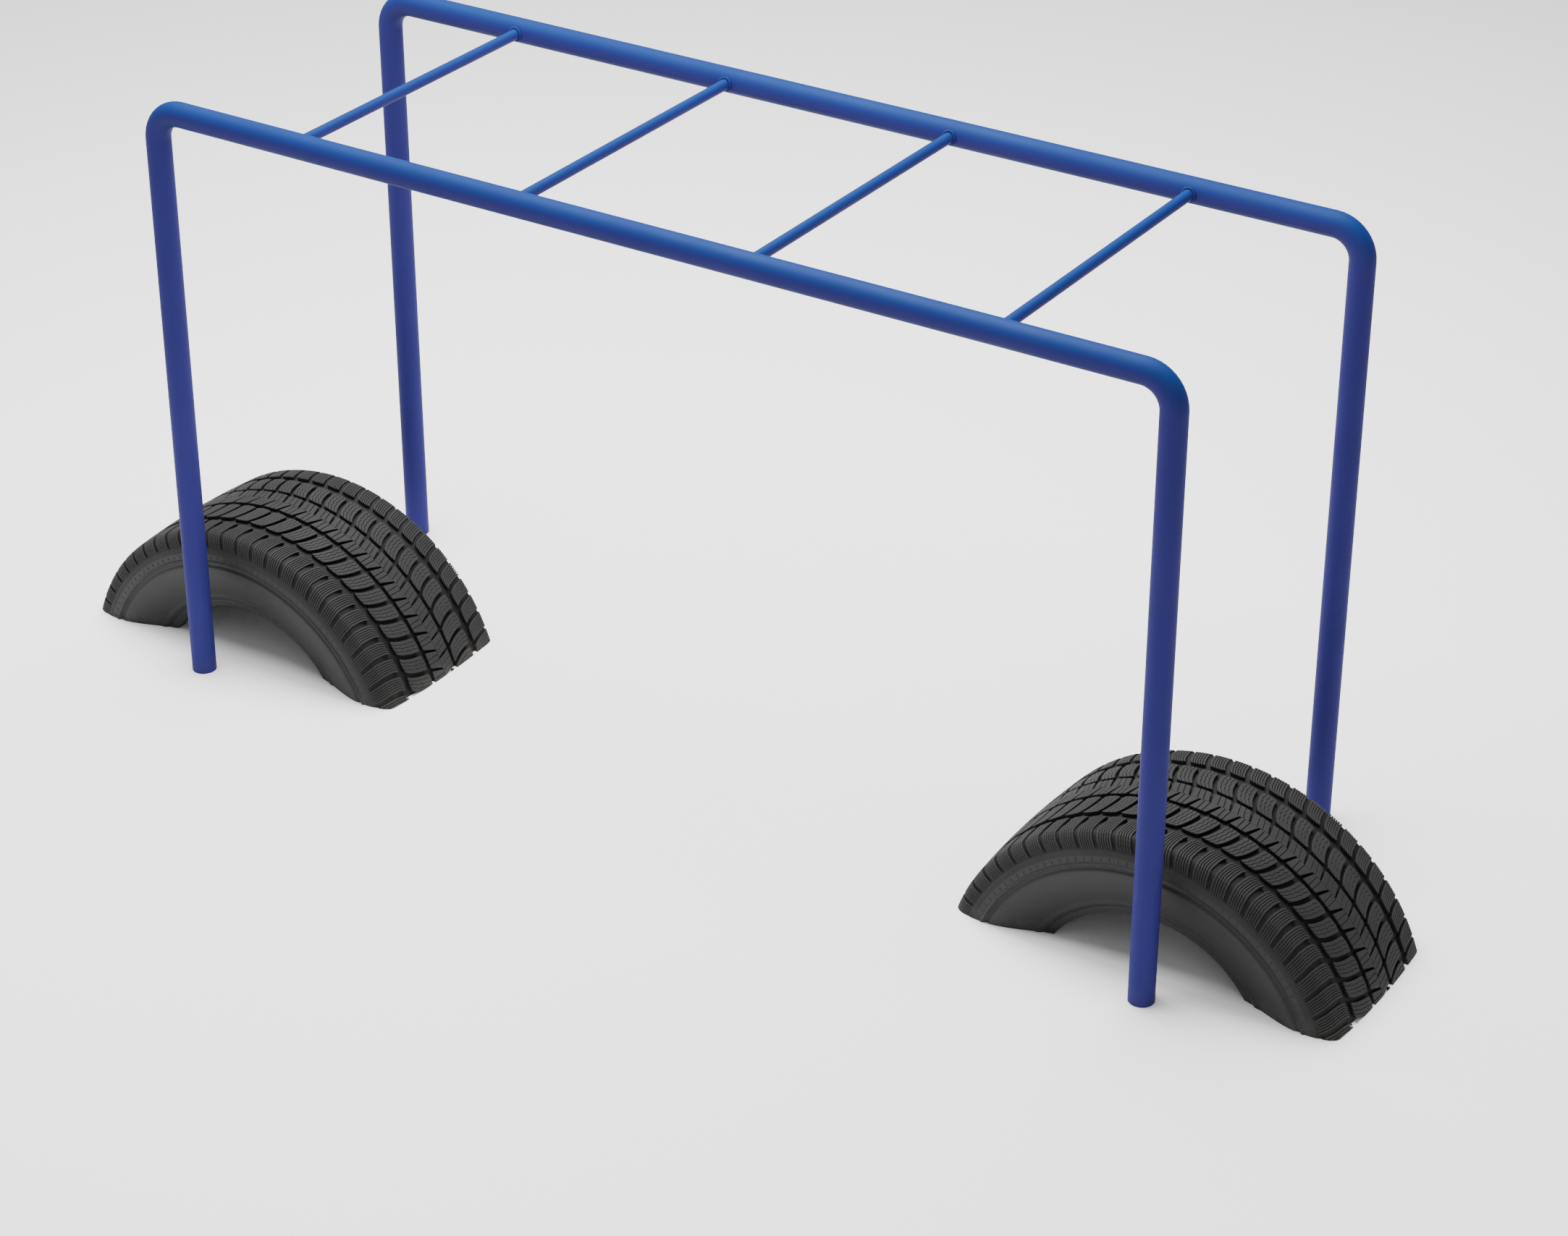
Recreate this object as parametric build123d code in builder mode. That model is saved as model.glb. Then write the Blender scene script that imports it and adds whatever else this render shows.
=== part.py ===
from build123d import *
import os

# Low overhead ladder for a playground, with a half-buried tyre as a step at each end.
# Millimetres. The origin is the layout point on the ground, midway between the four posts.
# +X runs along the rails, +Y from the front rail to the back rail, and +Z is up.
# Only what stands above the ground is modelled: posts and tyres end at z = 0.

# --- ladder, overall ---
post_spacing_x = 2650.0  # between post axes, along the rails
post_spacing_y = 870.0  # between post axes, across the ladder
top_height = 1524.0  # ground to the top of the rails

# --- side frames: one bent tube each ---
frame_tube_od = 60.3
frame_tube_wall = 3.9
bend_radius = 72.0  # of the tube's centre line

# --- rungs ---
rung_count = 4
rung_pitch = 610.0
rung_tube_od = 26.7
rung_tube_wall = 2.9
rung_root_gap = 0.25  # between a coped rung end and the rail
weld_leg = 5.5

# --- tyres ---
tyre_inset = 47.0  # from a post's axis in towards the middle of the ladder
tyre_clearance = 43.85  # between a tyre and the plane of the front posts
axle_depth = 160.0  # from the ground down to the middle of the tyre
tyre_od = 1018.0
tyre_width = 446.0
bead_diameter = 571.5
bead_spread = 356.0  # over the outsides of the two beads
widest_radius = 425.0  # where the sidewall bulges most
tread_width = 384.0
crown_drop = 8.0  # from the middle of the tread to its edge
tread_thickness = 22.0
belt_thickness = 6.0
belt_width = 330.0
casing_thickness = 8.0
sidewall_thickness = 10.0
shoulder_radius = 448.0  # where the tread rubber ends on the sidewall
groove_depth = 13.0
groove_width = 8.0
groove_offsets = (39.0, 119.0)  # of the grooves, either side of the tread's middle
bead_cover = 5.0  # rubber outside the casing at the bead
bead_thickness = 26.0  # of the casing where it wraps the bead core
bead_flare = 0.3  # how far the bead turns in towards its seat
bead_core_diameter = 14.0
bead_core_rise = 16.0  # from the bead seat to the middle of the core

frame_tube_r = frame_tube_od / 2
rung_tube_r = rung_tube_od / 2
half_x = post_spacing_x / 2
half_y = post_spacing_y / 2
rail_z = top_height - frame_tube_r
rung_xs = [(i - (rung_count - 1) / 2) * rung_pitch for i in range(rung_count)]
side_signs = {"front": -1, "back": 1}
end_signs = {"left": -1, "right": 1}

tyre_r = tyre_od / 2
bead_r = bead_diameter / 2
casing_depth = tread_thickness + belt_thickness  # tread and belt lie on the casing
core_half_spread = bead_spread / 2 - bead_cover - bead_thickness / 2
bead_core_places = [(bead_r + bead_core_rise, sign * core_half_spread) for sign in side_signs.values()]
half_turn = 180
tyre_y = frame_tube_r + tyre_clearance + tyre_width / 2 - half_y
tyre_places = {name: (sign * (half_x - tyre_inset), tyre_y, -axle_depth) for name, sign in end_signs.items()}

os.makedirs("parts", exist_ok=True)


def save(part, node):
    part.label = node
    export_step(part, f"parts/{node}.step")


def make_side_frame(side):
    """One tube: up a post, along the rail and down the other post."""
    y = side_signs[side] * half_y
    with BuildPart() as frame:
        with BuildLine(Plane.XZ.offset(-y)) as centre_line:
            corners = [(-half_x, 0), (-half_x, rail_z), (half_x, rail_z), (half_x, 0)]
            FilletPolyline(*corners, radius=bend_radius)
        with BuildSketch(Plane(origin=(-half_x, y, 0), z_dir=(0, 0, 1))):
            Circle(frame_tube_r)
            Circle(frame_tube_r - frame_tube_wall, mode=Mode.SUBTRACT)
        sweep(path=centre_line.line)
    save(frame.part, f"{side}_side_frame")


def make_rung(number, x):
    """A tube across the ladder, its ends coped to sit on the rails."""
    with BuildPart() as rung:
        with BuildSketch(Plane(origin=(x, 0, rail_z), z_dir=(0, 1, 0))):
            Circle(rung_tube_r)
            Circle(rung_tube_r - rung_tube_wall, mode=Mode.SUBTRACT)
        extrude(amount=half_y, both=True)
        cope_r = frame_tube_r + rung_root_gap
        with Locations((x, -half_y, rail_z), (x, half_y, rail_z)):
            Cylinder(cope_r, 4 * frame_tube_od, rotation=(0, 90, 0), mode=Mode.SUBTRACT)
    save(rung.part, f"rung_{number}")


def make_weld(number, x, side):
    """The fillet weld round a rung's end, cut to the rail's curve."""
    sign = side_signs[side]
    weld_r = rung_tube_r + weld_leg
    with BuildPart() as weld:
        with BuildSketch(Plane((x, sign * half_y, rail_z))):
            with BuildLine():
                Polyline(
                    (rung_tube_r, 0),
                    (rung_tube_r, -sign * (frame_tube_r + weld_leg)),
                    (weld_r, -sign * frame_tube_r),
                    (weld_r, 0),
                    close=True,
                )
            make_face()
        revolve(axis=Axis((x, 0, rail_z), (0, 1, 0)))
        with Locations((x, sign * half_y, rail_z)):
            Cylinder(frame_tube_r, 4 * frame_tube_od, rotation=(0, 90, 0), mode=Mode.SUBTRACT)
    save(weld.part, f"weld_{number}_{side}")


def filled_section(crown_depth, side_depth, bead_depth):
    """The section inside a line at these depths under the tyre's outer face.

    Local X is the distance from the axle and local Y runs along the axle.
    """
    crown_r = tyre_r - crown_depth
    edge_r = crown_r - crown_drop
    half_tread = tread_width / 2 - side_depth
    half_wide = tyre_width / 2 - side_depth
    half_bead = bead_spread / 2 - bead_depth
    with BuildSketch() as section:
        with BuildLine():
            crown = ThreePointArc((edge_r, -half_tread), (crown_r, 0), (edge_r, half_tread))
            for sign, start, along in ((-1, crown @ 0, -(crown % 0)), (1, crown @ 1, crown % 1)):
                bulge = (widest_radius, sign * half_wide)
                foot = (bead_r, sign * half_bead)
                Spline(start, bulge, tangents=[along, (-1, 0)])
                Spline(bulge, foot, tangents=[(-1, 0), (-1, -sign * bead_flare)])
            Line((bead_r, -half_bead), (bead_r, half_bead))
        make_face()
    return section.sketch


def make_tyre(name):
    """The seven pieces of one tyre, each turned over the axle and cut off at the ground."""
    place = Plane(origin=tyre_places[name])
    axle = Axis(tyre_places[name], (0, 1, 0))
    outside = filled_section(0, 0, 0)
    under_tread = filled_section(tread_thickness, sidewall_thickness, bead_cover)
    casing_outside = filled_section(casing_depth, sidewall_thickness, bead_cover)
    inside = filled_section(
        casing_depth + casing_thickness,
        sidewall_thickness + casing_thickness,
        bead_cover + bead_thickness,
    )

    with BuildPart() as belt:
        with BuildSketch(place):
            add(under_tread)
            add(casing_outside, mode=Mode.SUBTRACT)
            Rectangle(2 * tyre_r, belt_width, mode=Mode.INTERSECT)
        revolve(axis=axle, revolution_arc=-half_turn)
        split(bisect_by=Plane.XY)
    save(belt.part, f"{name}_tyre_belt")

    with BuildPart() as tread:
        with BuildSketch(place):
            add(outside)
            add(casing_outside, mode=Mode.SUBTRACT)
            Rectangle(2 * shoulder_radius, 2 * tyre_width, mode=Mode.SUBTRACT)
            for offset in groove_offsets:
                with Locations((tyre_r, -offset), (tyre_r, offset)):
                    Rectangle(2 * groove_depth, groove_width, mode=Mode.SUBTRACT)
        revolve(axis=axle, revolution_arc=-half_turn)
        split(bisect_by=Plane.XY)
        add(belt.part, mode=Mode.SUBTRACT)
    save(tread.part, f"{name}_tyre_tread")

    with BuildPart() as casing:
        with BuildSketch(place):
            add(casing_outside)
            add(inside, mode=Mode.SUBTRACT)
            with Locations(*bead_core_places):
                Circle(bead_core_diameter / 2, mode=Mode.SUBTRACT)
        revolve(axis=axle, revolution_arc=-half_turn)
        split(bisect_by=Plane.XY)
    save(casing.part, f"{name}_tyre_casing")

    for (side, sign), core_place in zip(side_signs.items(), bead_core_places):
        with BuildPart() as sidewall:
            with BuildSketch(place):
                add(outside)
                add(casing_outside, mode=Mode.SUBTRACT)
                with Locations((shoulder_radius / 2, sign * tyre_width / 2)):
                    Rectangle(shoulder_radius, tyre_width, mode=Mode.INTERSECT)
            revolve(axis=axle, revolution_arc=-half_turn)
            split(bisect_by=Plane.XY)
        save(sidewall.part, f"{name}_tyre_{side}_sidewall")

        with BuildPart() as bead_core:
            with BuildSketch(place):
                with Locations(core_place):
                    Circle(bead_core_diameter / 2)
            revolve(axis=axle, revolution_arc=-half_turn)
            split(bisect_by=Plane.XY)
        save(bead_core.part, f"{name}_tyre_{side}_bead_core")


for side_name in side_signs:
    make_side_frame(side_name)
for index, rung_x in enumerate(rung_xs, start=1):
    make_rung(index, rung_x)
    for side_name in side_signs:
        make_weld(index, rung_x, side_name)
for tyre_name in end_signs:
    make_tyre(tyre_name)
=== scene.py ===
import math

import bmesh
import bpy
import numpy as np
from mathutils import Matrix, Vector
from mathutils.geometry import interpolate_bezier


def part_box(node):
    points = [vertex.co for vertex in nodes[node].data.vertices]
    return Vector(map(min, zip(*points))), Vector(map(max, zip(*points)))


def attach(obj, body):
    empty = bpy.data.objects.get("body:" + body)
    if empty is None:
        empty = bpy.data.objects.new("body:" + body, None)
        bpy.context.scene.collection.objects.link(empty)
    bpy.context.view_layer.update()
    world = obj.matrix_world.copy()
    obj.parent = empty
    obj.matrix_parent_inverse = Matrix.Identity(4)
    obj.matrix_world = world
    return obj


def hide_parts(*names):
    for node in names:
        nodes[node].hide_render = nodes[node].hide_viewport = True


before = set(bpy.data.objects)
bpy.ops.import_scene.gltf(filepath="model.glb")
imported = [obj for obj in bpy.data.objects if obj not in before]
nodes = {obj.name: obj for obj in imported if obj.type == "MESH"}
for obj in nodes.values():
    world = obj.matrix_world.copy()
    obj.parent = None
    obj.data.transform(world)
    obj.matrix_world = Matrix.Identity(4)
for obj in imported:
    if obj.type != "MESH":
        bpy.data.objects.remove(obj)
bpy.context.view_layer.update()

sides = {"front": -1, "back": 1}
ends = ("left", "right")


# node trees: a value in inputs is either a plain number or another node's output
def addNode(tree, kind, inputs=None, **settings):
    node = tree.nodes.new(kind)
    for name, value in settings.items():
        setattr(node, name, value)
    for name, value in (inputs or {}).items():
        if isinstance(value, bpy.types.NodeSocket):
            tree.links.new(value, node.inputs[name])
        else:
            node.inputs[name].default_value = value
    return node


def addMath(tree, operation, *values):
    return addNode(tree, "ShaderNodeMath", dict(enumerate(values)), operation=operation).outputs["Value"]


# spreads a value from one range over another, by default over 0 to 1
def addRange(tree, value, low, high, toLow=0.0, toHigh=1.0, **settings):
    return addNode(tree, "ShaderNodeMapRange", {
        "Value": value, "From Min": low, "From Max": high, "To Min": toLow, "To Max": toHigh,
    }, **settings).outputs["Result"]


def addNoise(tree, coords, scale, detail, roughness=0.5):
    return addNode(tree, "ShaderNodeTexNoise", {
        "Vector": coords, "Scale": scale, "Detail": detail, "Roughness": roughness,
    }).outputs["Fac"]


def newTree(kind, name, inputs, outputs):
    tree = bpy.data.node_groups.new(name, kind)
    for label, socketType, value in inputs:
        socket = tree.interface.new_socket(label, in_out="INPUT", socket_type=socketType)
        if value is not None:
            socket.default_value = value
    for label, socketType in outputs:
        tree.interface.new_socket(label, in_out="OUTPUT", socket_type=socketType)
    return tree, addNode(tree, "NodeGroupInput").outputs, addNode(tree, "NodeGroupOutput")


def treeModifier(obj, tree, **values):
    modifier = obj.modifiers.new(tree.name, "NODES")
    modifier.node_group = tree
    sockets = {item.name: item.identifier for item in tree.interface.items_tree if item.in_out == "INPUT"}
    for name, value in values.items():
        modifier[sockets[name]] = value
    return modifier


# the object's node tree is worked out and left as a plain mesh
def applyTree(obj):
    graph = bpy.context.evaluated_depsgraph_get()
    graph.update()
    mesh = bpy.data.meshes.new_from_object(obj.evaluated_get(graph), depsgraph=graph)
    obj.modifiers.clear()
    obj.data = mesh
    return obj


def linked(obj):
    bpy.context.scene.collection.objects.link(obj)
    return obj


def meshObject(name, points, faces, material=None, depths=None):
    mesh = bpy.data.meshes.new(name)
    mesh.from_pydata([tuple(p) for p in points], [], [tuple(f) for f in faces])
    if depths is not None:
        mesh.attributes.new("grooveDepth", "FLOAT", "POINT").data.foreach_set("value", depths)
    bm = bmesh.new()
    bm.from_mesh(mesh)
    bmesh.ops.recalc_face_normals(bm, faces=bm.faces)
    bm.to_mesh(mesh)
    bm.free()
    if material:
        mesh.materials.append(material)
    return linked(bpy.data.objects.new(name, mesh))


# smooth shading that keeps edges sharper than the angle
def smoothSides(mesh, angle):
    mesh.polygons.foreach_set("use_smooth", [True] * len(mesh.polygons))
    mesh.set_sharp_from_angle(angle=angle)


# takes away what is below the ground and closes the cut
def cutAtGround(mesh):
    bm = bmesh.new()
    bm.from_mesh(mesh)
    everything = bm.verts[:] + bm.edges[:] + bm.faces[:]
    cut = bmesh.ops.bisect_plane(
        bm, geom=everything, plane_co=(0, 0, 0), plane_no=(0, 0, 1), clear_inner=True,
    )
    rim = [e for e in cut["geom_cut"] if isinstance(e, bmesh.types.BMEdge) and e.is_boundary]
    bmesh.ops.edgenet_fill(bm, edges=rim)
    bm.to_mesh(mesh)
    bm.free()


# the lighter azure blue is painted top light on faces that look up; the darkest blue is painted shade on
# faces that look down and also the colour of the random darker patches
paintFinish = dict(
    blue=(0.0210, 0.020, 0.130, 1), topLightBlue=(0.0022, 0.022, 0.115, 1), shadeAndPatchBlue=(0.006, 0.010, 0.060, 1),
    topLightFrom=0.05, topLightTo=0.80, undersideShadeFrom=-0.10, undersideShadeTo=-0.85, unevenness=0.12, toneScale=5.0,
    roughness=0.58, peel=0.04, peelScale=380.0, weldPeelScale=700.0, specular=0.07,
    dust=(0.13, 0.12, 0.11, 1), dustHeight=0.06, dustAmount=0.10,
)
# the darkest colour is painted shade in grooves, rib dips, the lower sidewall and inner faces; shade: how
# deep a groove starts to take painted shade and is fully shaded, worn: the darkest worn patch's share
rubberFinish = dict(
    top=(0.018, 0.0185, 0.018, 1), paintedShade=(0.0035, 0.0035, 0.0035, 1), side=(0.0165, 0.0165, 0.0165, 1),
    treadShade=(0.0006, 0.0028), treadWorn=0.72, treadGrain=420.0, treadTone=14.0,
    treadRoughness=(0.62, 0.88), treadBump=0.35,
    sideShade=(0.0003, 0.0022), sideShadeMost=0.85, sideWorn=0.75, sideGrain=500.0, sideTone=6.0,
    sideRoughness=(0.46, 0.62), sideBump=0.12, ringScale=24.0, ringShare=0.25, toneShare=0.6,
    beadShade=0.60, shadeFrom=0.420, shadeTo=0.320, specular=0.24,
    dust=(0.13, 0.115, 0.10, 1), dustHeight=0.05, dustAmount=0.22,
)
linerFinish = dict(
    dark=(0.014, 0.014, 0.015, 1), pale=(0.030, 0.029, 0.028, 1), grain=260.0, tone=9.0,
    cordScale=90.0, cordBump=0.25, roughness=0.7, dustHeight=0.12, dustAmount=0.5,
)
steelFinish = dict(
    belt=(0.62, 0.48, 0.28, 1), beltScale=120.0,
    bead=(0.60, 0.50, 0.36, 1), beadScale=200.0,
    roughness=0.35, strandBump=0.5,
)


# fine noise for the surface and broad noise for its colour
def makeGrainGroup():
    tree, inputs, output = newTree(
        "ShaderNodeTree", "surfaceGrain",
        [("Vector", "NodeSocketVector", None), ("Fine Scale", "NodeSocketFloat", 300.0),
         ("Broad Scale", "NodeSocketFloat", 8.0)],
        [("Fine", "NodeSocketFloat"), ("Broad", "NodeSocketFloat")],
    )
    tree.links.new(addNoise(tree, inputs["Vector"], inputs["Fine Scale"], 3.0), output.inputs["Fine"])
    broad = addNoise(tree, inputs["Vector"], inputs["Broad Scale"], 4.0)
    tree.links.new(addRange(tree, broad, 0.3, 0.7), output.inputs["Broad"])
    return tree


# dust splashed up from the ground, thinning out at a given height
def makeDustGroup():
    tree, inputs, output = newTree(
        "ShaderNodeTree", "groundDust",
        [("Vector", "NodeSocketVector", None), ("Height", "NodeSocketFloat", 0.1),
         ("Amount", "NodeSocketFloat", 0.4)],
        [("Mask", "NodeSocketFloat")],
    )
    place = addNode(tree, "ShaderNodeSeparateXYZ", {"Vector": inputs["Vector"]})
    low = addRange(tree, place.outputs["Z"], inputs["Height"], 0.0, interpolation_type="SMOOTHSTEP")
    patches = addRange(tree, addNoise(tree, inputs["Vector"], 22.0, 5.0, 0.65), 0.35, 0.75)
    patchy = addMath(tree, "MULTIPLY", low, patches)
    tree.links.new(addMath(tree, "MULTIPLY", patchy, inputs["Amount"]), output.inputs["Mask"])
    return tree


grainGroup = makeGrainGroup()
dustGroup = makeDustGroup()


def startMaterial(name):
    material = bpy.data.materials.new(name)
    material.use_nodes = True
    tree = material.node_tree
    shader = next(n for n in tree.nodes if n.type == "BSDF_PRINCIPLED")
    coords = addNode(tree, "ShaderNodeTexCoord").outputs["Object"]
    return material, tree, shader, coords


def blend(tree, factor, first, second):
    node = addNode(tree, "ShaderNodeMix", {0: factor, 6: first, 7: second}, data_type="RGBA")
    return node.outputs[2]


# the same colour, darker
def darker(colour, share):
    return [share * c for c in colour[:3]] + [1]


def addGrain(tree, coords, fineScale, broadScale):
    inputs = {"Vector": coords, "Fine Scale": fineScale, "Broad Scale": broadScale}
    return addNode(tree, "ShaderNodeGroup", inputs, node_tree=grainGroup).outputs


# lays dust over a colour near the ground
def addDust(tree, coords, colour, finish, dust):
    inputs = {"Vector": coords, "Height": finish["dustHeight"], "Amount": finish["dustAmount"]}
    mask = addNode(tree, "ShaderNodeGroup", inputs, node_tree=dustGroup).outputs["Mask"]
    return blend(tree, mask, colour, dust)


def addBump(tree, shader, height, strength, distance):
    bump = addNode(tree, "ShaderNodeBump", {"Height": height, "Strength": strength, "Distance": distance})
    tree.links.new(bump.outputs["Normal"], shader.inputs["Normal"])


# satin powder coat: slight orange peel, painted top light on faces that look up, painted shade on faces
# that look down, random darker patches, dusty at the feet
def makePowderCoat(name, peelScale):
    finish = paintFinish
    material, tree, shader, coords = startMaterial(name)
    grain = addGrain(tree, coords, peelScale, finish["toneScale"])
    normal = addNode(tree, "ShaderNodeTexCoord").outputs["Normal"]
    upward = addNode(tree, "ShaderNodeSeparateXYZ", {"Vector": normal}).outputs["Z"]
    # painted top light: faces that look up take the lighter azure blue
    topLightMask = addRange(tree, upward, finish["topLightFrom"], finish["topLightTo"])
    # painted shade: faces that look down take the darkest blue
    undersideShadeMask = addRange(tree, upward, finish["undersideShadeFrom"], finish["undersideShadeTo"])
    topLit = blend(tree, topLightMask, finish["blue"], finish["topLightBlue"])
    undersideShaded = blend(tree, undersideShadeMask, topLit, finish["shadeAndPatchBlue"])
    patches = addMath(tree, "MULTIPLY", grain["Broad"], finish["unevenness"])
    coat = blend(tree, patches, undersideShaded, finish["shadeAndPatchBlue"])
    dusty = addDust(tree, coords, coat, finish, finish["dust"])
    tree.links.new(dusty, shader.inputs["Base Color"])
    gloss = addRange(tree, grain["Broad"], 0.0, 1.0, finish["roughness"] - 0.04, finish["roughness"] + 0.06)
    tree.links.new(gloss, shader.inputs["Roughness"])
    shader.inputs["Specular IOR Level"].default_value = finish["specular"]
    addBump(tree, shader, grain["Fine"], finish["peel"], 0.001)
    return material


# black rubber: the block tops are scuffed grey, painted shade darkens the grooves by their depth
def makeTreadRubber(name):
    finish = rubberFinish
    material, tree, shader, coords = startMaterial(name)
    grain = addGrain(tree, coords, finish["treadGrain"], finish["treadTone"])
    depth = addNode(tree, "ShaderNodeAttribute", attribute_name="grooveDepth").outputs["Fac"]
    # painted shade: the deeper a point lies in a groove, the darker its colour
    shade = addRange(tree, depth, *finish["treadShade"])
    scuffed = blend(tree, grain["Broad"], darker(finish["top"], finish["treadWorn"]), finish["top"])
    rubber = blend(tree, shade, scuffed, finish["paintedShade"])
    dusty = addDust(tree, coords, rubber, finish, finish["dust"])
    tree.links.new(dusty, shader.inputs["Base Color"])
    shader.inputs["Specular IOR Level"].default_value = finish["specular"]
    dull = addRange(tree, grain["Fine"], 0.0, 1.0, *finish["treadRoughness"])
    tree.links.new(dull, shader.inputs["Roughness"])
    addBump(tree, shader, grain["Fine"], finish["treadBump"], 0.0006)
    return material


# moulded sidewall rubber: smoother, with faint rings round the axle, painted shade darkening it towards the
# bead
def makeSideRubber(name, centre):
    finish = rubberFinish
    material, tree, shader, coords = startMaterial(name)
    toCentre = tuple(-c for c in centre)
    centred = addNode(tree, "ShaderNodeMapping", {"Vector": coords, "Location": toCentre}).outputs["Vector"]
    grain = addGrain(tree, coords, finish["sideGrain"], finish["sideTone"])
    rings = addNode(tree, "ShaderNodeTexWave", {
        "Vector": centred, "Scale": finish["ringScale"], "Distortion": 0.4, "Detail": 2.0,
    }, wave_type="RINGS", rings_direction="Y").outputs["Fac"]
    tone = addMath(tree, "MULTIPLY", grain["Broad"], finish["toneShare"])
    ringed = addMath(tree, "MULTIPLY_ADD", rings, finish["ringShare"], tone)
    smooth = blend(tree, ringed, darker(finish["side"], finish["sideWorn"]), finish["side"])
    flat = addNode(tree, "ShaderNodeVectorMath", {0: centred, 1: (1, 0, 1)}, operation="MULTIPLY")
    radius = addNode(tree, "ShaderNodeVectorMath", {0: flat.outputs["Vector"]}, operation="LENGTH")
    # painted shade: the sidewall darkens from the ridge towards the bead
    inner = addRange(
        tree, radius.outputs["Value"], finish["shadeFrom"], finish["shadeTo"], 0.0, 1 - finish["beadShade"],
        interpolation_type="SMOOTHSTEP",
    )
    shaded = blend(tree, inner, smooth, finish["paintedShade"])
    # painted shade in the dips of the sidewall's ribs and on its inner face
    depth = addNode(tree, "ShaderNodeAttribute", attribute_name="grooveDepth").outputs["Fac"]
    dip = addRange(tree, depth, *finish["sideShade"], 0.0, finish["sideShadeMost"])
    rubber = blend(tree, dip, shaded, finish["paintedShade"])
    dusty = addDust(tree, coords, rubber, finish, finish["dust"])
    tree.links.new(dusty, shader.inputs["Base Color"])
    shader.inputs["Specular IOR Level"].default_value = finish["specular"]
    dull = addRange(tree, grain["Fine"], 0.0, 1.0, *finish["sideRoughness"])
    tree.links.new(dull, shader.inputs["Roughness"])
    addBump(tree, shader, grain["Fine"], finish["sideBump"], 0.0005)
    return material


# the bare ply and liner inside the tyre, faintly ribbed by its cords
def makeLinerRubber(name):
    finish = linerFinish
    material, tree, shader, coords = startMaterial(name)
    grain = addGrain(tree, coords, finish["grain"], finish["tone"])
    cords = addNode(tree, "ShaderNodeTexWave", {
        "Vector": coords, "Scale": finish["cordScale"], "Distortion": 1.5, "Detail": 2.0,
    }, bands_direction="X").outputs["Fac"]
    rubber = blend(tree, grain["Broad"], finish["dark"], finish["pale"])
    dusty = addDust(tree, coords, rubber, finish, rubberFinish["dust"])
    tree.links.new(dusty, shader.inputs["Base Color"])
    shader.inputs["Roughness"].default_value = finish["roughness"]
    addBump(tree, shader, addMath(tree, "ADD", cords, grain["Fine"]), finish["cordBump"], 0.0005)
    return material


# wound brass-coated steel, sealed inside the rubber
def makeSteelCord(name, colour, scale):
    material, tree, shader, coords = startMaterial(name)
    strands = addNode(tree, "ShaderNodeTexWave", {
        "Vector": coords, "Scale": scale, "Distortion": 0.6,
    }, bands_direction="DIAGONAL").outputs["Fac"]
    tint = blend(tree, strands, darker(colour, 0.5), colour)
    tree.links.new(tint, shader.inputs["Base Color"])
    shader.inputs["Metallic"].default_value = 1.0
    shader.inputs["Roughness"].default_value = steelFinish["roughness"]
    addBump(tree, shader, strands, steelFinish["strandBump"], 0.0008)
    return material


paint = makePowderCoat("bluePowderCoat", paintFinish["peelScale"])
weldPaint = makePowderCoat("weldPowderCoat", paintFinish["weldPeelScale"])
treadRubber = makeTreadRubber("treadRubber")
linerRubber = makeLinerRubber("linerRubber")
beltSteel = makeSteelCord("beltSteel", steelFinish["belt"], steelFinish["beltScale"])
beadSteel = makeSteelCord("beadSteel", steelFinish["bead"], steelFinish["beadScale"])
print("finishes made")


tyreShape = dict(
    treadHalf=0.192, crownDrop=0.008, widestRadius=0.425, beadRadius=0.28575, beadHalf=0.178, beadFlare=0.3,
    splitRadius=0.448, beltHalf=0.165, beltDepth=0.0219, casingDepth=0.0279, wall=0.0099, beadCover=0.0049,
    plies=0.0080, beadThickness=0.0260, toe=0.0030, dipShade=0.7, sectionPoints=110, insidePoints=26,
    turnSteps=150, smoothAngle=math.radians(35),
)
treadPattern = dict(
    pitches=64, grooveDepth=0.0100, bevel=0.0007, sink=0.0015,
    shallowFrom=0.142, shallowTo=0.176, shallowDepth=0.0040, fadeStart=0.234, fadeEnd=0.250,
    edgeDrop=0.0014, edgeDropFrom=0.222, edgeDropTo=0.249,
    sipeFadeStart=0.228, sipeFadeEnd=0.249,
)
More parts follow.
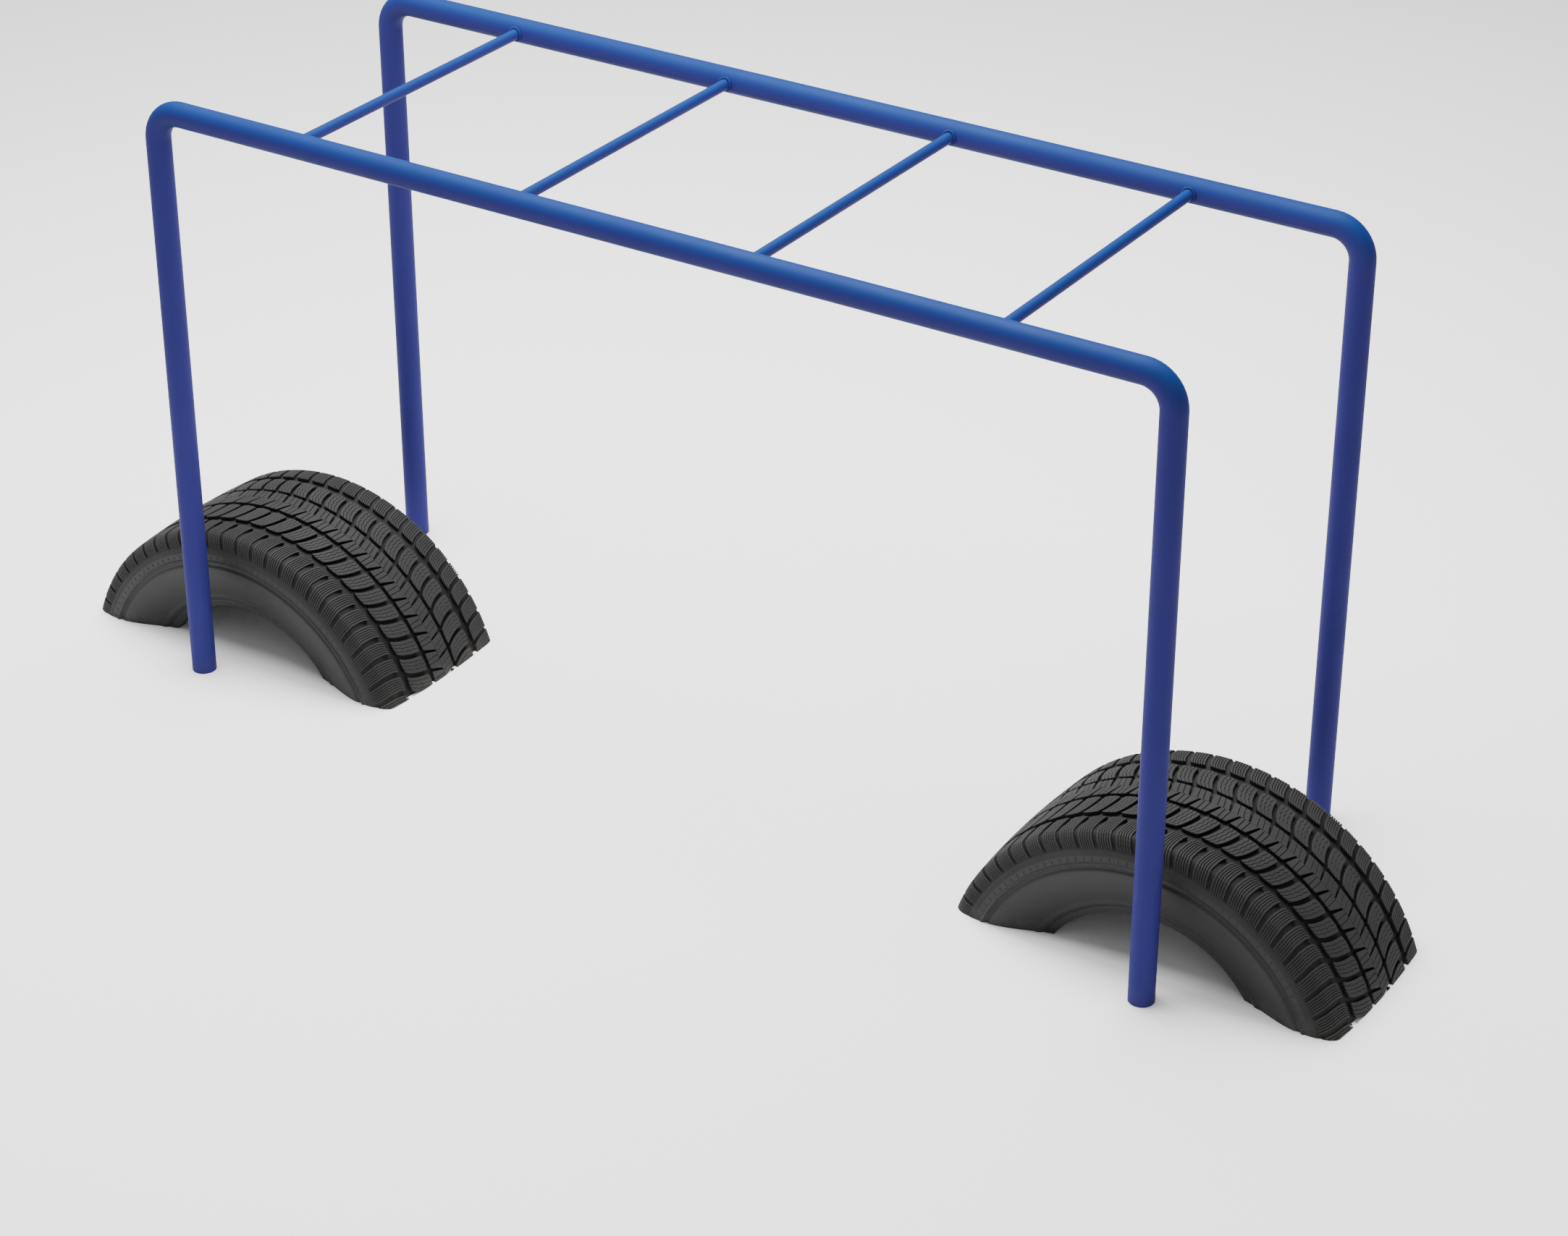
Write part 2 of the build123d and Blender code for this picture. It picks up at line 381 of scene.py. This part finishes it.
# path: (distance from the middle, shift round the tyre) of the cut between neighbouring blocks
# cuts: where the sipes divide a block, lean: how much further round their outer ends lie
treadRows = [
    dict(inner=-0.1410, outer=-0.2500, gap=(0.0150, 0.0100), nip=(0.0015, 0.0), steps=12, sipe=0.0015,
         cuts=(0, 0.17, 0.34, 0.50, 0.66, 0.83, 1), lean=0.0, wave=0.0,
         path=[(0.141, -0.031), (0.152, -0.037), (0.170, -0.040), (0.195, -0.042),
               (0.220, -0.038), (0.250, -0.029)]),
    dict(inner=-0.0500, outer=-0.1245, gap=(0.0115, 0.0125), nip=(0.0040, 0.0030), steps=8, sipe=0.0010,
         cuts=(0, 0.25, 0.5, 0.75, 1), lean=0.0, wave=0.0013,
         path=[(0.048, 0.002), (0.060, 0.0), (0.080, -0.004), (0.100, -0.010),
               (0.115, -0.017), (0.1245, -0.024)]),
    dict(inner=0.0, outer=-0.0390, gap=(0.0050, 0.0095), nip=(0.0, 0.0010), steps=3, sipe=0.0015,
         cuts=(0, 0.20, 0.50, 1), lean=0.011, wave=0.0,
         path=[(0.0, 0.017), (0.0390, 0.004)]),
    dict(inner=0.0, outer=0.0380, gap=(0.0050, 0.0085), nip=(0.0, 0.0010), steps=3, sipe=0.0013,
         cuts=(0, 0.36, 0.68, 1), lean=0.0, wave=0.0,
         path=[(0.0, 0.040), (0.0380, 0.029)]),
    dict(inner=0.0480, outer=0.1210, gap=(0.0110, 0.0110), nip=(0.0030, 0.0040), steps=8, sipe=0.0010,
         cuts=(0, 0.25, 0.5, 0.75, 1), lean=0.0, wave=0.0013,
         path=[(0.045, 0.033), (0.053, 0.025), (0.063, 0.019), (0.080, 0.012),
               (0.100, 0.007), (0.121, 0.006)]),
    dict(inner=0.1390, outer=0.2500, gap=(0.0130, 0.0090), nip=(0.0030, 0.0), steps=12, sipe=0.0013,
         cuts=(0, 0.17, 0.34, 0.50, 0.66, 0.83, 1), lean=0.0, wave=0.0,
         path=[(0.139, 0.014), (0.150, 0.007), (0.165, 0.002), (0.190, -0.003),
               (0.220, -0.004), (0.250, 0.0)]),
]
sideRibs = [
    dict(radius=0.4285, width=0.0045, height=0.0034),
    dict(radius=0.4185, width=0.0100, height=-0.0034),
    dict(radius=0.3150, width=0.0110, height=0.0025),
    dict(radius=0.3030, width=0.0045, height=-0.0012),
]
sideTicks = dict(
    count=128, radius=0.4400, length=0.008, width=0.0024, height=0.0009, sink=0.001, bevel=0.0005,
)


def smoothStep(value, low, high):
    t = np.clip((value - low) / (high - low), 0.0, 1.0)
    return t * t * (3 - 2 * t)


# a tyre's place and size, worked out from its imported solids
def measureTyre(name):
    low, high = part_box(f"{name}_tyre_tread")
    halfChord = (high[0] - low[0]) / 2
    radius = (high[2] ** 2 + halfChord**2) / (2 * high[2])
    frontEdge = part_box(f"{name}_tyre_front_sidewall")[0][1]
    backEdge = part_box(f"{name}_tyre_back_sidewall")[1][1]
    centre = ((low[0] + high[0]) / 2, (frontEdge + backEdge) / 2, high[2] - radius)
    return dict(name=name, radius=radius, centre=centre, halfWidth=(backEdge - frontEdge) / 2)


# half of the line at these depths under the outer face, from the middle of the tread to the bead:
# distance along it, place across, radius and outward normal
def sectionLine(tyre, crownDepth=0.0, sideDepth=0.0, beadDepth=0.0):
    shape = tyreShape
    crownRadius = tyre["radius"] - crownDepth
    treadHalf = shape["treadHalf"] - sideDepth
    arcRadius = (treadHalf**2 + shape["crownDrop"] ** 2) / (2 * shape["crownDrop"])
    arcEnd = math.asin(treadHalf / arcRadius)
    angles = np.linspace(0, arcEnd, 24)
    points = [(arcRadius * math.sin(a), crownRadius - arcRadius * (1 - math.cos(a))) for a in angles]
    flare = math.hypot(1, shape["beadFlare"])
    knots = [
        (points[-1], (math.cos(arcEnd), -math.sin(arcEnd))),
        ((tyre["halfWidth"] - sideDepth, shape["widestRadius"]), (0, -1)),
        ((shape["beadHalf"] - beadDepth, shape["beadRadius"]), (-shape["beadFlare"] / flare, -1 / flare)),
    ]
    for (start, leaving), (stop, arriving) in zip(knots, knots[1:]):
        reach = math.dist(start, stop) / 3
        away = (start[0] + reach * leaving[0], start[1] + reach * leaving[1])
        before = (stop[0] - reach * arriving[0], stop[1] - reach * arriving[1])
        curve = interpolate_bezier(*[Vector((*place, 0)) for place in (start, away, before, stop)], 40)
        points += [(p.x, p.y) for p in curve[1:]]
    points = np.array(points)
    along = np.concatenate([[0], np.cumsum(np.linalg.norm(np.diff(points, axis=0), axis=1))])
    tangent = np.gradient(points, along, axis=0)
    tangent /= np.linalg.norm(tangent, axis=1)[:, None]
    return dict(along=along, y=points[:, 0], r=points[:, 1], ny=-tangent[:, 1], nr=tangent[:, 0])


# (across, radius) of a point so far across the tread and so deep under it
def linePoint(line, across, depth):
    u = abs(across)
    y, r, ny, nr = (np.interp(u, line["along"], line[k]) for k in ("y", "r", "ny", "nr"))
    return math.copysign(1, across) * (y - depth * ny), r - depth * nr


# the part of a line between two radii, as (across, radius) points from the tread side to the bead side
def lineBetween(line, outerRadius, innerRadius, count):
    ends = [float(np.interp(-r, -line["r"], line["along"])) for r in (outerRadius, innerRadius)]
    return [linePoint(line, u, 0.0) for u in np.linspace(*ends, count)]


def grooveFloor(across):
    pattern = treadPattern
    shallow = smoothStep(abs(across), pattern["shallowFrom"], pattern["shallowTo"])
    depth = pattern["grooveDepth"] + (pattern["shallowDepth"] - pattern["grooveDepth"]) * shallow
    return depth * (1 - smoothStep(abs(across), pattern["fadeStart"], pattern["fadeEnd"]))


# one line across a block at a share of its width; lines inside the block waver if the row has waves
def blockLine(row, share, side, pitch):
    pattern = treadPattern
    outward = math.copysign(1, row["outer"] - row["inner"])
    corner = abs(2 * share - 1) ** 3
    inner = row["inner"] + outward * row["nip"][0] * corner
    outer = row["outer"] - outward * row["nip"][1] * corner
    isSipe = 0.01 < share < 0.99
    farOut, shift = zip(*row["path"])
    line = []
    for i in range(row["steps"] + 1):
        t = i / row["steps"]
        u = inner + (outer - inner) * t
        gap = row["gap"][0] + (row["gap"][1] - row["gap"][0]) * t
        s = np.interp(abs(u), farOut, shift) + gap / 2 + share * (pitch - gap)
        if isSipe:
            s += row["lean"] * t
            fade = smoothStep(abs(u), pattern["sipeFadeStart"], pattern["sipeFadeEnd"])
            s += side * row["sipe"] / 2 * (1 - fade)
            if 0 < i < row["steps"]:
                s += row["wave"] * (1 if i % 2 else -1)
        line.append((s, u))
    return line


# a closed bar of rubber between two lines, bevelled along its top edges
def addBar(build, line, leftLine, rightLine, topDepth, bottomDepth, bevel, radius):
    points, faces, depths = build
    rows = list(zip(leftLine, rightLine))
    first = len(points)
    for i, (left, right) in enumerate(rows):
        left, right = Vector(left), Vector(right)
        gap = right - left
        inset = gap * min(bevel / max(gap.length, 1e-6), 0.35)
        endRow = i in (0, len(rows) - 1)
        for place, level in (
            (left, "bottom"), (left, "edge"), (left + inset, "top"),
            (right - inset, "top"), (right, "edge"), (right, "bottom"),
        ):
            if level == "bottom":
                depth = bottomDepth(place.y)
            elif level == "edge" or endRow:
                depth = topDepth(place.y) + bevel
            else:
                depth = topDepth(place.y)
            across, r = linePoint(line, place.y, depth)
            angle = place.x / radius
            points.append((r * math.sin(angle), across, r * math.cos(angle)))
            depths.append(depth)
    for i in range(len(rows) - 1):
        a = first + 6 * i
        faces += [(a + k, a + (k + 1) % 6, a + 6 + (k + 1) % 6, a + 6 + k) for k in range(6)]
    faces.append(tuple(first + k for k in range(6)))
    faces.append(tuple(first + 6 * (len(rows) - 1) + k for k in range(6)))


# extra rows close to both ends, so that the ends of a bar are bevelled too
def withEndRows(line, bevel):
    start, second, beforeLast, last = (Vector(line[i]) for i in (0, 1, -2, -1))
    near = start + (second - start).normalized() * bevel
    far = last + (beforeLast - last).normalized() * bevel
    return [tuple(start), tuple(near)] + line[1:-1] + [tuple(far), tuple(last)]


# the shoulder blocks sink a little into the sidewall where they end
def blockTop(across):
    pattern = treadPattern
    return pattern["edgeDrop"] * smoothStep(abs(across), pattern["edgeDropFrom"], pattern["edgeDropTo"])


def blockBottom(across):
    return grooveFloor(across) + treadPattern["sink"]


# everything that repeats round the tread: one block of each row, cut into slats by its sipes
def makePitch(tyre, line):
    pattern = treadPattern
    bevel = pattern["bevel"]
    pitch = 2 * math.pi * tyre["radius"] / pattern["pitches"]
    build = ([], [], [])
    for row in treadRows:
        for start, stop in zip(row["cuts"], row["cuts"][1:]):
            left = withEndRows(blockLine(row, start, 1, pitch), bevel)
            right = withEndRows(blockLine(row, stop, -1, pitch), bevel)
            addBar(build, line, left, right, blockTop, blockBottom, bevel, tyre["radius"])
    points, faces, depths = build
    return meshObject(f"{tyre['name']}Pitch", points, faces, depths=depths)


# a closed section turned over the axle, its ends flush with the ground
def turnedRing(name, tyre, section, depths, material):
    cx, cy, cz = tyre["centre"]
    steps = tyreShape["turnSteps"]
    points, faces = [], []
    count = len(section)
    for i in range(steps + 1):
        for across, r in section:
            reach = math.acos(-cz / r)
            angle = -reach + 2 * reach * i / steps
            points.append((cx + r * math.sin(angle), cy + across, max(cz + r * math.cos(angle), 0.0)))
    for i in range(steps):
        a = i * count
        for k in range(count):
            after = (k + 1) % count
            faces.append((a + k, a + after, a + count + after, a + count + k))
    faces.append(tuple(range(count)))
    faces.append(tuple(range(steps * count, (steps + 1) * count)))
    piece = meshObject(name, points, faces, material, depths * (steps + 1))
    smoothSides(piece.data, tyreShape["smoothAngle"])
    return piece


# sets the finished geometry in its place and paints it
def finishTree(tree, output, geometry, place, material):
    placed = addNode(tree, "GeometryNodeTransform", {"Geometry": geometry, "Translation": place})
    painted = addNode(tree, "GeometryNodeSetMaterial", {
        "Geometry": placed.outputs["Geometry"], "Material": material,
    })
    tree.links.new(painted.outputs["Geometry"], output.inputs["Geometry"])


# copies round the axle: count, angle between them and the first one's angle
def makeRingTree():
    tree, inputs, output = newTree(
        "GeometryNodeTree", "ringRoundAxle",
        [("Geometry", "NodeSocketGeometry", None), ("Count", "NodeSocketInt", 12),
         ("Step", "NodeSocketFloat", 0.1), ("First", "NodeSocketFloat", 0.0),
         ("Centre", "NodeSocketVector", None), ("Material", "NodeSocketMaterial", None)],
        [("Geometry", "NodeSocketGeometry")],
    )
    dots = addNode(tree, "GeometryNodePoints", {"Count": inputs["Count"]})
    index = addNode(tree, "GeometryNodeInputIndex").outputs["Index"]
    turn = addMath(tree, "MULTIPLY_ADD", index, inputs["Step"], inputs["First"])
    spin = addNode(tree, "ShaderNodeCombineXYZ", {"Y": turn})
    copies = addNode(tree, "GeometryNodeInstanceOnPoints", {
        "Points": dots.outputs[0], "Instance": inputs["Geometry"], "Rotation": spin.outputs["Vector"],
    })
    real = addNode(tree, "GeometryNodeRealizeInstances", {"Geometry": copies.outputs["Instances"]})
    finishTree(tree, output, real.outputs["Geometry"], inputs["Centre"], inputs["Material"])
    return tree


ringTree = makeRingTree()


def joinInto(piece, other):
    bm = bmesh.new()
    bm.from_mesh(piece.data)
    bm.from_mesh(other.data)
    bm.to_mesh(piece.data)
    bm.free()
    bpy.data.objects.remove(other)


def makeTread(tyre, line, beltLine, casingLine):
    pattern, shape = treadPattern, tyreShape
    split = float(np.interp(-shape["splitRadius"], -line["r"], line["along"]))
    section, depths = [], []
    for u in np.linspace(-split, split, shape["sectionPoints"]):
        section.append(linePoint(line, u, grooveFloor(u)))
        depths.append(float(grooveFloor(u)))
    beltEdge = float(np.interp(shape["beltHalf"], casingLine["y"], casingLine["r"]))
    half = lineBetween(casingLine, beltEdge, shape["splitRadius"], 14)[::-1]
    half += [linePoint(beltLine, u, 0.0) for u in np.linspace(shape["beltHalf"], 0, 8)]
    half += [(-across, r) for across, r in half[-2::-1]]
    section += half
    # the inner face gets the casing's full depth, which the material paints as full shade
    depths += [shape["casingDepth"]] * len(half)
    tread = turnedRing(f"{tyre['name']}TreadBlocks", tyre, section, depths, treadRubber)
    pitchAngle = 2 * math.pi / pattern["pitches"]
    count = 2 * math.ceil(math.acos(-tyre["centre"][2] / tyre["radius"]) / pitchAngle) + 4
    blocks = makePitch(tyre, line)
    treeModifier(blocks, ringTree, Count=count, Step=pitchAngle, First=-count / 2 * pitchAngle,
                 Centre=tyre["centre"], Material=treadRubber)
    applyTree(blocks)
    cutAtGround(blocks.data)
    joinInto(tread, blocks)
    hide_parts(f"{tyre['name']}_tyre_tread")
    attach(tread, "root")


def makeSidewall(tyre, line, casingLine, side):
    shape = tyreShape
    sign = sides[side]
    split = float(np.interp(-shape["splitRadius"], -line["r"], line["along"]))
    section, depths = [], []
    for u in np.linspace(split, line["along"][-1], shape["sectionPoints"]):
        r = linePoint(line, u, 0.0)[1]
        lift = 0.0
        for rib in sideRibs:
            share = (r - rib["radius"]) / rib["width"]
            if abs(share) < 1:
                lift += rib["height"] * math.cos(share * math.pi / 2) ** 2
        section.append(linePoint(line, sign * u, -lift))
        # the dips of the ribs get a depth that the material turns into painted shade
        depths.append(max(0.0, -lift) * shape["dipShade"])
    inside = lineBetween(casingLine, shape["splitRadius"], shape["beadRadius"], shape["insidePoints"])[::-1]
    section += [(sign * across, r) for across, r in inside]
    # the inner face gets the wall's full depth, which the material paints as shade
    depths += [shape["wall"]] * len(inside)
    material = sideRubbers[tyre["name"]]
    wall = turnedRing(f"{tyre['name']}Sidewall{side.capitalize()}", tyre, section, depths, material)
    addTicks(wall, tyre, line, sign, material)
    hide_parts(f"{tyre['name']}_tyre_{side}_sidewall")
    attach(wall, "root")


# the body plies from bead to bead, with a rounded toe where each bead ends inside
def makeCasing(tyre):
    shape = tyreShape
    outer = sectionLine(tyre, shape["casingDepth"], shape["wall"], shape["beadCover"])
    inner = sectionLine(
        tyre, shape["casingDepth"] + shape["plies"], shape["wall"] + shape["plies"],
        shape["beadCover"] + shape["beadThickness"],
    )
    count, toeSize = shape["sectionPoints"], shape["toe"]
    outerEnd, innerEnd = outer["along"][-1], inner["along"][-1]
    toeAcross, toeRadius = linePoint(inner, innerEnd, 0.0)
    toe = [(toeAcross + toeSize, toeRadius), (toeAcross + toeSize * 0.3, toeRadius + toeSize * 0.3)]
    section = [linePoint(outer, u, 0.0) for u in np.linspace(-outerEnd, outerEnd, count)]
    innerStop = innerEnd - toeSize
    section += toe + [linePoint(inner, u, 0.0) for u in np.linspace(innerStop, -innerStop, count)]
    section += [(-across, r) for across, r in toe[::-1]]
    casing = turnedRing(f"{tyre['name']}Casing", tyre, section, [0.0] * len(section), linerRubber)
    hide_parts(f"{tyre['name']}_tyre_casing")
    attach(casing, "root")


# short raised ticks where the shoulder grooves run out
def addTicks(wall, tyre, line, sign, material):
    ticks = sideTicks
    middle = float(np.interp(-ticks["radius"], -line["r"], line["along"]))
    build = ([], [], [])
    edges = []
    for edge in (-1, 1):
        cuts = [(edge * ticks["width"] / 2, sign * (middle + t * ticks["length"])) for t in (-0.5, 0, 0.5)]
        edges.append(withEndRows(cuts, ticks["bevel"]))
    addBar(
        build, line, *edges, lambda u: -ticks["height"], lambda u: ticks["sink"], ticks["bevel"],
        ticks["radius"],
    )
    tick = meshObject(f"{tyre['name']}Tick", build[0], build[1], depths=build[2])
    step = 2 * math.pi / ticks["count"]
    reach = math.acos(-tyre["centre"][2] / (ticks["radius"] - ticks["length"]))
    count = 2 * int(reach / step) + 1
    treeModifier(tick, ringTree, Count=count, Step=step, First=-(count - 1) / 2 * step,
                 Centre=tyre["centre"], Material=material)
    joinInto(wall, applyTree(tick))


tyres = {name: measureTyre(name) for name in ends}
sideRubbers = {name: makeSideRubber(f"{name}SidewallRubber", tyres[name]["centre"]) for name in ends}
for name, tyre in tyres.items():
    shape = tyreShape
    face = sectionLine(tyre)
    beltTop = sectionLine(tyre, shape["beltDepth"], shape["wall"], shape["beadCover"])
    casingTop = sectionLine(tyre, shape["casingDepth"], shape["wall"], shape["beadCover"])
    makeTread(tyre, face, beltTop, casingTop)
    for side in sides:
        makeSidewall(tyre, face, casingTop, side)
        nodes[f"{name}_tyre_{side}_bead_core"].data.materials[0] = beadSteel
    makeCasing(tyre)
    nodes[f"{name}_tyre_belt"].data.materials[0] = beltSteel
    print(name, "tyre made, radius", round(tyre["radius"], 4))


# seat: how far up the weld's leg the bead's middle lies
weldBead = dict(leg=0.0055, seat=0.3, thickness=0.0034, ripples=30, stretch=1.23, squash=0.5)


# the bead follows the line where the rung meets the rail, with a ripple for each dab of the torch
def makeWeldTree():
    tree, inputs, output = newTree(
        "GeometryNodeTree", "rippledWeld",
        [("Geometry", "NodeSocketGeometry", None), ("Bead Radius", "NodeSocketFloat", 0.015),
         ("Rail Radius", "NodeSocketFloat", 0.03), ("Side", "NodeSocketFloat", 1.0),
         ("Thickness", "NodeSocketFloat", 0.003), ("Ripples", "NodeSocketInt", 30),
         ("Stretch", "NodeSocketFloat", 1.2), ("Squash", "NodeSocketFloat", 0.5),
         ("Place", "NodeSocketVector", None), ("Material", "NodeSocketMaterial", None)],
        [("Geometry", "NodeSocketGeometry")],
    )
    ring = addNode(tree, "GeometryNodeCurvePrimitiveCircle", {
        "Resolution": 64, "Radius": inputs["Bead Radius"],
    }).outputs["Curve"]
    position = addNode(tree, "GeometryNodeInputPosition").outputs["Position"]
    place = addNode(tree, "ShaderNodeSeparateXYZ", {"Vector": position})
    across, high = place.outputs["X"], place.outputs["Y"]
    railSquare = addMath(tree, "POWER", inputs["Rail Radius"], 2.0)
    highSquare = addMath(tree, "MULTIPLY", high, high)
    reach = addMath(tree, "SQRT", addMath(tree, "SUBTRACT", railSquare, highSquare))
    inward = addMath(tree, "MULTIPLY", reach, inputs["Side"])
    saddle = addNode(tree, "ShaderNodeCombineXYZ", {"X": across, "Y": inward, "Z": high})
    bent = addNode(tree, "GeometryNodeSetPosition", {
        "Geometry": ring, "Position": saddle.outputs["Vector"],
    }).outputs["Geometry"]
    section = addNode(tree, "GeometryNodeCurvePrimitiveCircle", {
        "Resolution": 10, "Radius": inputs["Thickness"],
    }).outputs["Curve"]
    core = addNode(tree, "GeometryNodeCurveToMesh", {"Curve": bent, "Profile Curve": section})
    dabs = addNode(tree, "GeometryNodeResampleCurve", {"Curve": bent, "Count": inputs["Ripples"]})
    tangent = addNode(tree, "GeometryNodeInputTangent").outputs["Tangent"]
    facing = addNode(tree, "FunctionNodeAlignRotationToVector", {"Vector": tangent}, axis="Z")
    dab = addNode(tree, "GeometryNodeMeshUVSphere", {
        "Segments": 10, "Rings": 6, "Radius": inputs["Thickness"],
    })
    flat = addNode(tree, "ShaderNodeCombineXYZ", {
        "X": inputs["Stretch"], "Y": inputs["Stretch"], "Z": inputs["Squash"],
    })
    copies = addNode(tree, "GeometryNodeInstanceOnPoints", {
        "Points": dabs.outputs["Curve"], "Instance": dab.outputs["Mesh"],
        "Rotation": facing.outputs["Rotation"], "Scale": flat.outputs["Vector"],
    })
    both = addNode(tree, "GeometryNodeJoinGeometry")
    tree.links.new(core.outputs["Mesh"], both.inputs["Geometry"])
    tree.links.new(copies.outputs["Instances"], both.inputs["Geometry"])
    real = addNode(tree, "GeometryNodeRealizeInstances", {"Geometry": both.outputs["Geometry"]})
    smooth = addNode(tree, "GeometryNodeSetShadeSmooth", {"Geometry": real.outputs["Geometry"]})
    finishTree(tree, output, smooth.outputs["Geometry"], inputs["Place"], inputs["Material"])
    return tree


weldTree = makeWeldTree()


def makeWeld(number, side):
    rungLow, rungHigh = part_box(f"rung_{number}")
    railLow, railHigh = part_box(f"{side}_side_frame")
    railRadius = (railHigh[1] - railLow[1]) / 2
    rungRadius = (rungHigh[0] - rungLow[0]) / 2
    place = ((rungLow[0] + rungHigh[0]) / 2, (railLow[1] + railHigh[1]) / 2, railHigh[2] - railRadius)
    seat = weldBead["leg"] * weldBead["seat"]
    weld = linked(bpy.data.objects.new(f"weldBead{number}{side.capitalize()}", bpy.data.meshes.new("weld")))
    treeModifier(weld, weldTree, **{
        "Bead Radius": rungRadius + seat, "Rail Radius": railRadius + seat, "Side": float(-sides[side]),
        "Thickness": weldBead["thickness"], "Ripples": weldBead["ripples"], "Stretch": weldBead["stretch"],
        "Squash": weldBead["squash"], "Place": place, "Material": weldPaint,
    })
    applyTree(weld)
    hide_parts(f"weld_{number}_{side}")
    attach(weld, "root")


rungNumbers = sorted(int(name.split("_")[1]) for name in nodes if name.startswith("rung_"))
for number in rungNumbers:
    nodes[f"rung_{number}"].data.materials[0] = paint
    for side in sides:
        makeWeld(number, side)
for side in sides:
    nodes[f"{side}_side_frame"].data.materials[0] = paint
print("ladder painted,", len(rungNumbers) * len(sides), "welds made")


studio = dict(
    floorSize=160.0, floorGrey=0.90, floorMottle=0.01, floorDrop=0.0005, worldGrey=1.0, worldStrength=0.50,
)
softboxes = {
    "topSoftbox": dict(spot=(-1.0, 0.6, 6.0), aim=(0, 0, 0.8), size=6.0, power=1500.0),
    "fillSoftbox": dict(spot=(5.5, -5.0, 3.0), aim=(0.3, 0, 0.5), size=5.0, power=50.0),
}
cameraPlace = dict(spot=(4.320, -6.505, 4.730), aim=(0.179, -0.090, 0.439), lens=86.47, sensor=36.0)


def aimAt(obj, target):
    obj.rotation_euler = (Vector(target) - obj.location).to_track_quat("-Z", "Y").to_euler()


def makeFloor():
    half, drop = studio["floorSize"] / 2, studio["floorDrop"]
    material, tree, shader, coords = startMaterial("paleFloor")
    greys = [studio["floorGrey"] + sign * studio["floorMottle"] for sign in (-1, 1)]
    tint = blend(tree, addNoise(tree, coords, 0.8, 2.0), *[(grey, grey, grey, 1) for grey in greys])
    tree.links.new(tint, shader.inputs["Base Color"])
    shader.inputs["Roughness"].default_value = 0.9
    corners = [(x * half, y * half, -drop) for x, y in ((-1, -1), (1, -1), (1, 1), (-1, 1))]
    floor = meshObject("floor", corners, [(0, 1, 2, 3)], material)


def makeSoftbox(name, box):
    light = bpy.data.lights.new(name, "AREA")
    light.shape = "DISK"
    light.size = box["size"]
    light.energy = box["power"]
    obj = linked(bpy.data.objects.new(name, light))
    obj.location = box["spot"]
    aimAt(obj, box["aim"])


def makeStudio():
    makeFloor()
    world = bpy.data.worlds.new("studioWorld")
    world.use_nodes = True
    background = world.node_tree.nodes["Background"]
    background.inputs["Color"].default_value = (studio["worldGrey"],) * 3 + (1,)
    background.inputs["Strength"].default_value = studio["worldStrength"]
    bpy.context.scene.world = world
    for name, box in softboxes.items():
        makeSoftbox(name, box)
    camera = bpy.data.cameras.new("camera")
    camera.lens = cameraPlace["lens"]
    camera.sensor_width = cameraPlace["sensor"]
    camera.clip_end = 300
    obj = linked(bpy.data.objects.new("camera", camera))
    obj.location = cameraPlace["spot"]
    aimAt(obj, cameraPlace["aim"])
    bpy.context.scene.camera = obj


makeStudio()
print("studio set up")
